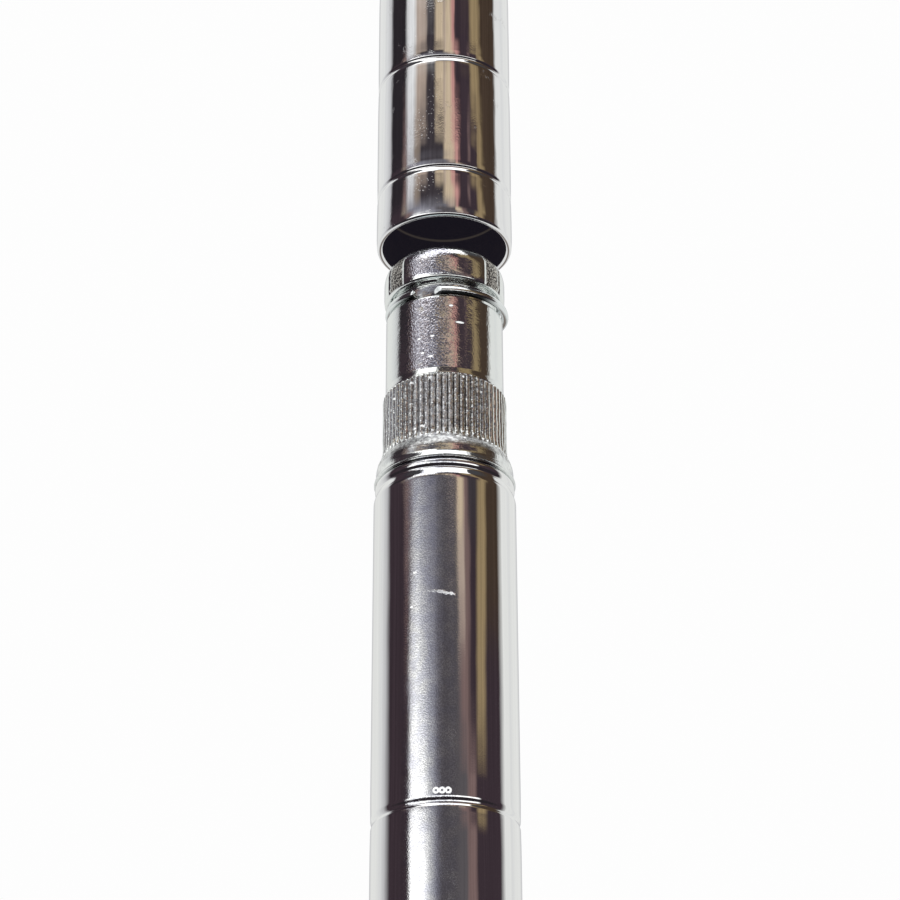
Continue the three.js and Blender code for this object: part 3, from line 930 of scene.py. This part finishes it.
# What the chrome mirrors, from the floor up: a dark room with a window low on the left, a few upright strips
# of wall and door frame on the right, and pale walls at both sides. Each entry holds for a range of heights,
# in degrees above level, and lists bands with the angles where they start and end. 0 is behind the camera
# and angles grow to its right. The strips lean: higher up, they stand further left.
ROOM = [
    (-12, -4, [*LEFT_WALL, (-96, 96, NIGHT), *RIGHT_WALL]),
    (1, 7, [*LEFT_WALL, (-96, -62, PLUM), (-57, 50, WINDOW), (55, 92, PLUM), *RIGHT_WALL]),
    (13, 20.8, [
        *LEFT_WALL, (-94, -58, PLUM), (-54, -34, WINDOW), (-24, -24, PALE), (-14, -14, SLATE),
        (-6, 32, DUSK), (37, 46, MAUVE), (51, 92, PLUM), *RIGHT_WALL,
    ]),
    (23.4, 23.4, [
        *LEFT_WALL, (-96, -60, PLUM), (-53, -43, WHITE), (-34, -34, MIST), (-24, -24, STEEL),
        (-10, 20, DUSK), (28, 35, MAUVE), (41, 48, PLUM), (53, 62, OLIVE), (69, 92, PLUM), *RIGHT_WALL,
    ]),
    (26, 26, [
        *LEFT_WALL, (-97, -70, PLUM), (-63, -63, MAUVE), (-56, -56, GREY), (-50, -42, PALE),
        (-30, -30, STEEL), (-16, -16, SLATE), (0, 19, DUSK), (23, 30, BEIGE), (34, 38, MAUVE),
        (42, 49, PLUM), (54, 65, OLIVE), (71, 92, BROWN), *RIGHT_WALL,
    ]),
    (27.6, 27.6, [
        *LEFT_WALL, (-98, -72, PLUM), (-64, -60, MAUVE), (-48, -38, STEEL), (-24, -20, SLATE),
        (-10, 17, DUSK), (21, 26, SAND), (32, 34, MAUVE), (39, 50, CHARCOAL), (57, 65, OLIVE),
        (71, 92, BROWN), *RIGHT_WALL,
    ]),
    (31, 31, [
        *LEFT_WALL, (-102, -78, PLUM), (-72, -70, TAUPE), (-60, -40, SLATE), (-20, 2, GREY),
        (12, 15, BEIGE), (19, 19, TAUPE), (22, 22, ROSE), (26, 56, PLUM), (62, 70, OLIVE),
        (76, 94, BROWN), *RIGHT_WALL,
    ]),
    (34, 34, [
        *LEFT_WALL, (-100, -77, NIGHT), (-72, -69, MAUVE), (-64, -56, MIST), (-50, -44, TAUPE),
        (-40, -3, CHARCOAL), (3, 13, SAND), (20, 23, ROSE), (29, 40, PLUM), (43, 43, MAUVE),
        (46, 56, PLUM), (61, 66, OLIVE), (72, 96, BROWN), *RIGHT_WALL,
    ]),
    (36.6, 36.6, [
        *LEFT_WALL, (-101, -72, NIGHT), (-65, -54, PALE), (-47, -33, BEIGE), (-28, -18, CHARCOAL),
        (-12, -3, SAND), (1, 1, BEIGE), (5, 10, SAND), (14, 17, ROSE), (20, 44, PLUM), (50, 61, OLIVE),
        (67, 97, BROWN), *RIGHT_WALL,
    ]),
    (46, 46, [
        (-125, -123, PALE), (-117, -64, PLUM), (-58, -20, WINDOW), (-12, 26, CHARCOAL), (34, 54, OLIVE),
        (62, 117, BROWN), (123, 125, PALE),
    ]),
]


def band_ramp(tree, turn, bands):
    """A colour ramp over one turn: flat bands with even fades between them."""
    ramp = add(tree, "ShaderNodeValToRGB", {"Fac": turn})
    stops = ramp.color_ramp.elements
    marks = [(angle, tone) for start, end, tone in bands for angle in sorted({start, end})]
    for i, (angle, tone) in enumerate(marks):
        place = (angle + 180) / 360
        stop = stops[0] if i == 0 else stops[-1] if i == len(marks) - 1 else stops.new(place)
        stop.position = place
        stop.color = (*(v / MIRROR_LOSS for v in colour(*tone)[:3]), 1)
    return ramp.outputs["Color"]


def room_colour(tree, turn, off_front, rise):
    """The walls and bands of the room, with fine upright streaks as of shelves and door frames."""
    room = band_ramp(tree, turn, ROOM[0][2])
    for (_, below, _), (above, _, bands) in zip(ROOM, ROOM[1:]):
        room = blend_colour(tree, fade(tree, rise, below, above), room, band_ramp(tree, turn, bands))
    room = blend_colour(tree, fade(tree, off_front, 0.32, 0.345), room, band_ramp(tree, turn, WALLS))
    at = add(tree, "ShaderNodeCombineXYZ", {0: times(tree, turn, 110), 1: times(tree, rise, 0.1)}).outputs[0]
    streak = add(tree, "ShaderNodeTexNoise", {"Vector": at, "Scale": 1.0, "Detail": 3.0}).outputs[0]
    strength = layered(tree, 0.8, (fade(tree, off_front, 0.26, 0.3), -0.6))
    return scaled(tree, room, layered(tree, 1.0, (calc(tree, "SUBTRACT", streak, 0.5), strength)))


def ceiling_colour(tree, x, y, z, off_front):
    """A dark ceiling with one long soft panel running away from the camera, and pale beyond it."""
    over = calc(tree, "MAXIMUM", z, 0.05)
    across = distance(tree, calc(tree, "DIVIDE", x, over))
    along = distance(tree, calc(tree, "DIVIDE", y, over), -0.1)
    panel = times(tree, fade(tree, across, 0.58, 0.54), fade(tree, along, 1.1, 0.9))
    panel = times(tree, panel, fade(tree, distance(tree, off_front, 0.25), 0.085, 0.1))
    ceiling = blend_colour(tree, panel, (0.06, 0.06, 0.065, 1), (1.7, 1.7, 1.72, 1))
    return blend_colour(tree, fade(tree, off_front, 0.37, 0.42), ceiling, (0.62, 0.63, 0.65, 1))


def make_world():
    """Pale to the camera. To the chrome, a dark room with upright bands, pale walls and a lit ceiling."""
    world = bpy.data.worlds.new("studio")
    world.use_nodes = True
    bpy.context.scene.world = world
    tree = world.node_tree
    tree.nodes.clear()
    x, y, z = axes_of(tree, add(tree, "ShaderNodeTexCoord").outputs["Generated"])
    turn = calc(tree, "MULTIPLY_ADD", turn_from_front(tree, x, y), 1 / (2 * pi), 0.5)
    off_front = distance(tree, turn, 0.5)  # in turns, to either side
    rise = times(tree, calc(tree, "ARCSINE", z), 180 / pi)
    room = room_colour(tree, turn, off_front, rise)
    mirrored = blend_colour(tree, fade(tree, rise, 52, 60), room, ceiling_colour(tree, x, y, z, off_front))
    far_floor = times(tree, fade(tree, rise, -8, -14), fade(tree, off_front, 0.44, 0.47))
    mirrored = blend_colour(tree, far_floor, mirrored, colour(*FAR_FLOOR))
    mirrored = blend_colour(tree, fade(tree, rise, -62, -74), mirrored, colour(*STUDIO_FLOOR))
    paths = add(tree, "ShaderNodeLightPath").outputs
    seen = blend_colour(tree, paths["Is Glossy Ray"], (0.82, 0.83, 0.84, 1), mirrored)
    shown = blend_colour(tree, paths["Is Camera Ray"], seen, (0.985, 0.985, 0.985, 1))
    background = add(tree, "ShaderNodeBackground", {"Color": shown, "Strength": 1.0})
    add(tree, "ShaderNodeOutputWorld", {"Surface": background.outputs[0]})


def make_floor():
    mesh = bpy.data.meshes.new("studio_floor")
    work = bmesh.new()
    bmesh.ops.create_circle(work, cap_ends=True, segments=96, radius=6.0)
    work.to_mesh(mesh)
    work.free()
    floor = bpy.data.objects.new("studio_floor", mesh)
    bpy.context.scene.collection.objects.link(floor)
    material, tree, shader = start_material("pale_floor")
    mottle = noise_of(tree, in_mm(tree), 60, detail=3)
    pale = blend_colour(tree, mottle, (0.80, 0.80, 0.80, 1), (0.84, 0.84, 0.84, 1))
    link(tree, pale, shader.inputs["Base Color"])
    shader.inputs["Roughness"].default_value = 0.8
    shader.inputs["Specular IOR Level"].default_value = 0.1
    mesh.materials.append(material)
    floor.visible_glossy = False  # the painted room has its own floor


def make_softbox():
    """One large soft light above and in front of the post. The chrome sees the painted ceiling instead."""
    light = bpy.data.lights.new("softbox", "AREA")
    light.shape = "RECTANGLE"
    light.size = 1.4
    light.size_y = 1.0
    light.energy = 22
    softbox = bpy.data.objects.new("softbox", light)
    softbox.location = (-0.7, -0.9, 1.7)
    aim = Vector((0, 0, 0.3)) - softbox.location
    softbox.rotation_euler = aim.to_track_quat("-Z", "Y").to_euler()
    softbox.visible_glossy = False
    bpy.context.scene.collection.objects.link(softbox)


def make_camera():
    """Below the joint and looking up at it: 28.5 degrees above level, through a long lens."""
    climb = radians(28.5)
    roll = radians(-0.18)
    away = 494.6
    aim = Vector((0.95, 0, EDGE + 11.5))
    eye = aim + away * Vector((0, -cos(climb), -sin(climb)))
    data = bpy.data.cameras.new("camera")
    data.lens = 109.7
    data.sensor_width = 36
    data.clip_start = 0.01
    camera = bpy.data.objects.new("camera", data)
    camera.matrix_world = (
        Matrix.Translation(eye * MM)
        @ Matrix.Rotation(pi / 2 + climb, 4, "X")
        @ Matrix.Rotation(roll, 4, "Z")
    )
    bpy.context.scene.collection.objects.link(camera)
    bpy.context.scene.camera = camera


make_upper_tube()
make_lower_tube()
make_plug()
make_snap_ring()
make_top_cap()
make_foot_insert()
make_stud()
make_nut()
make_glide()
make_world()
make_floor()
make_softbox()
make_camera()
bpy.context.scene.view_settings.view_transform = "Standard"
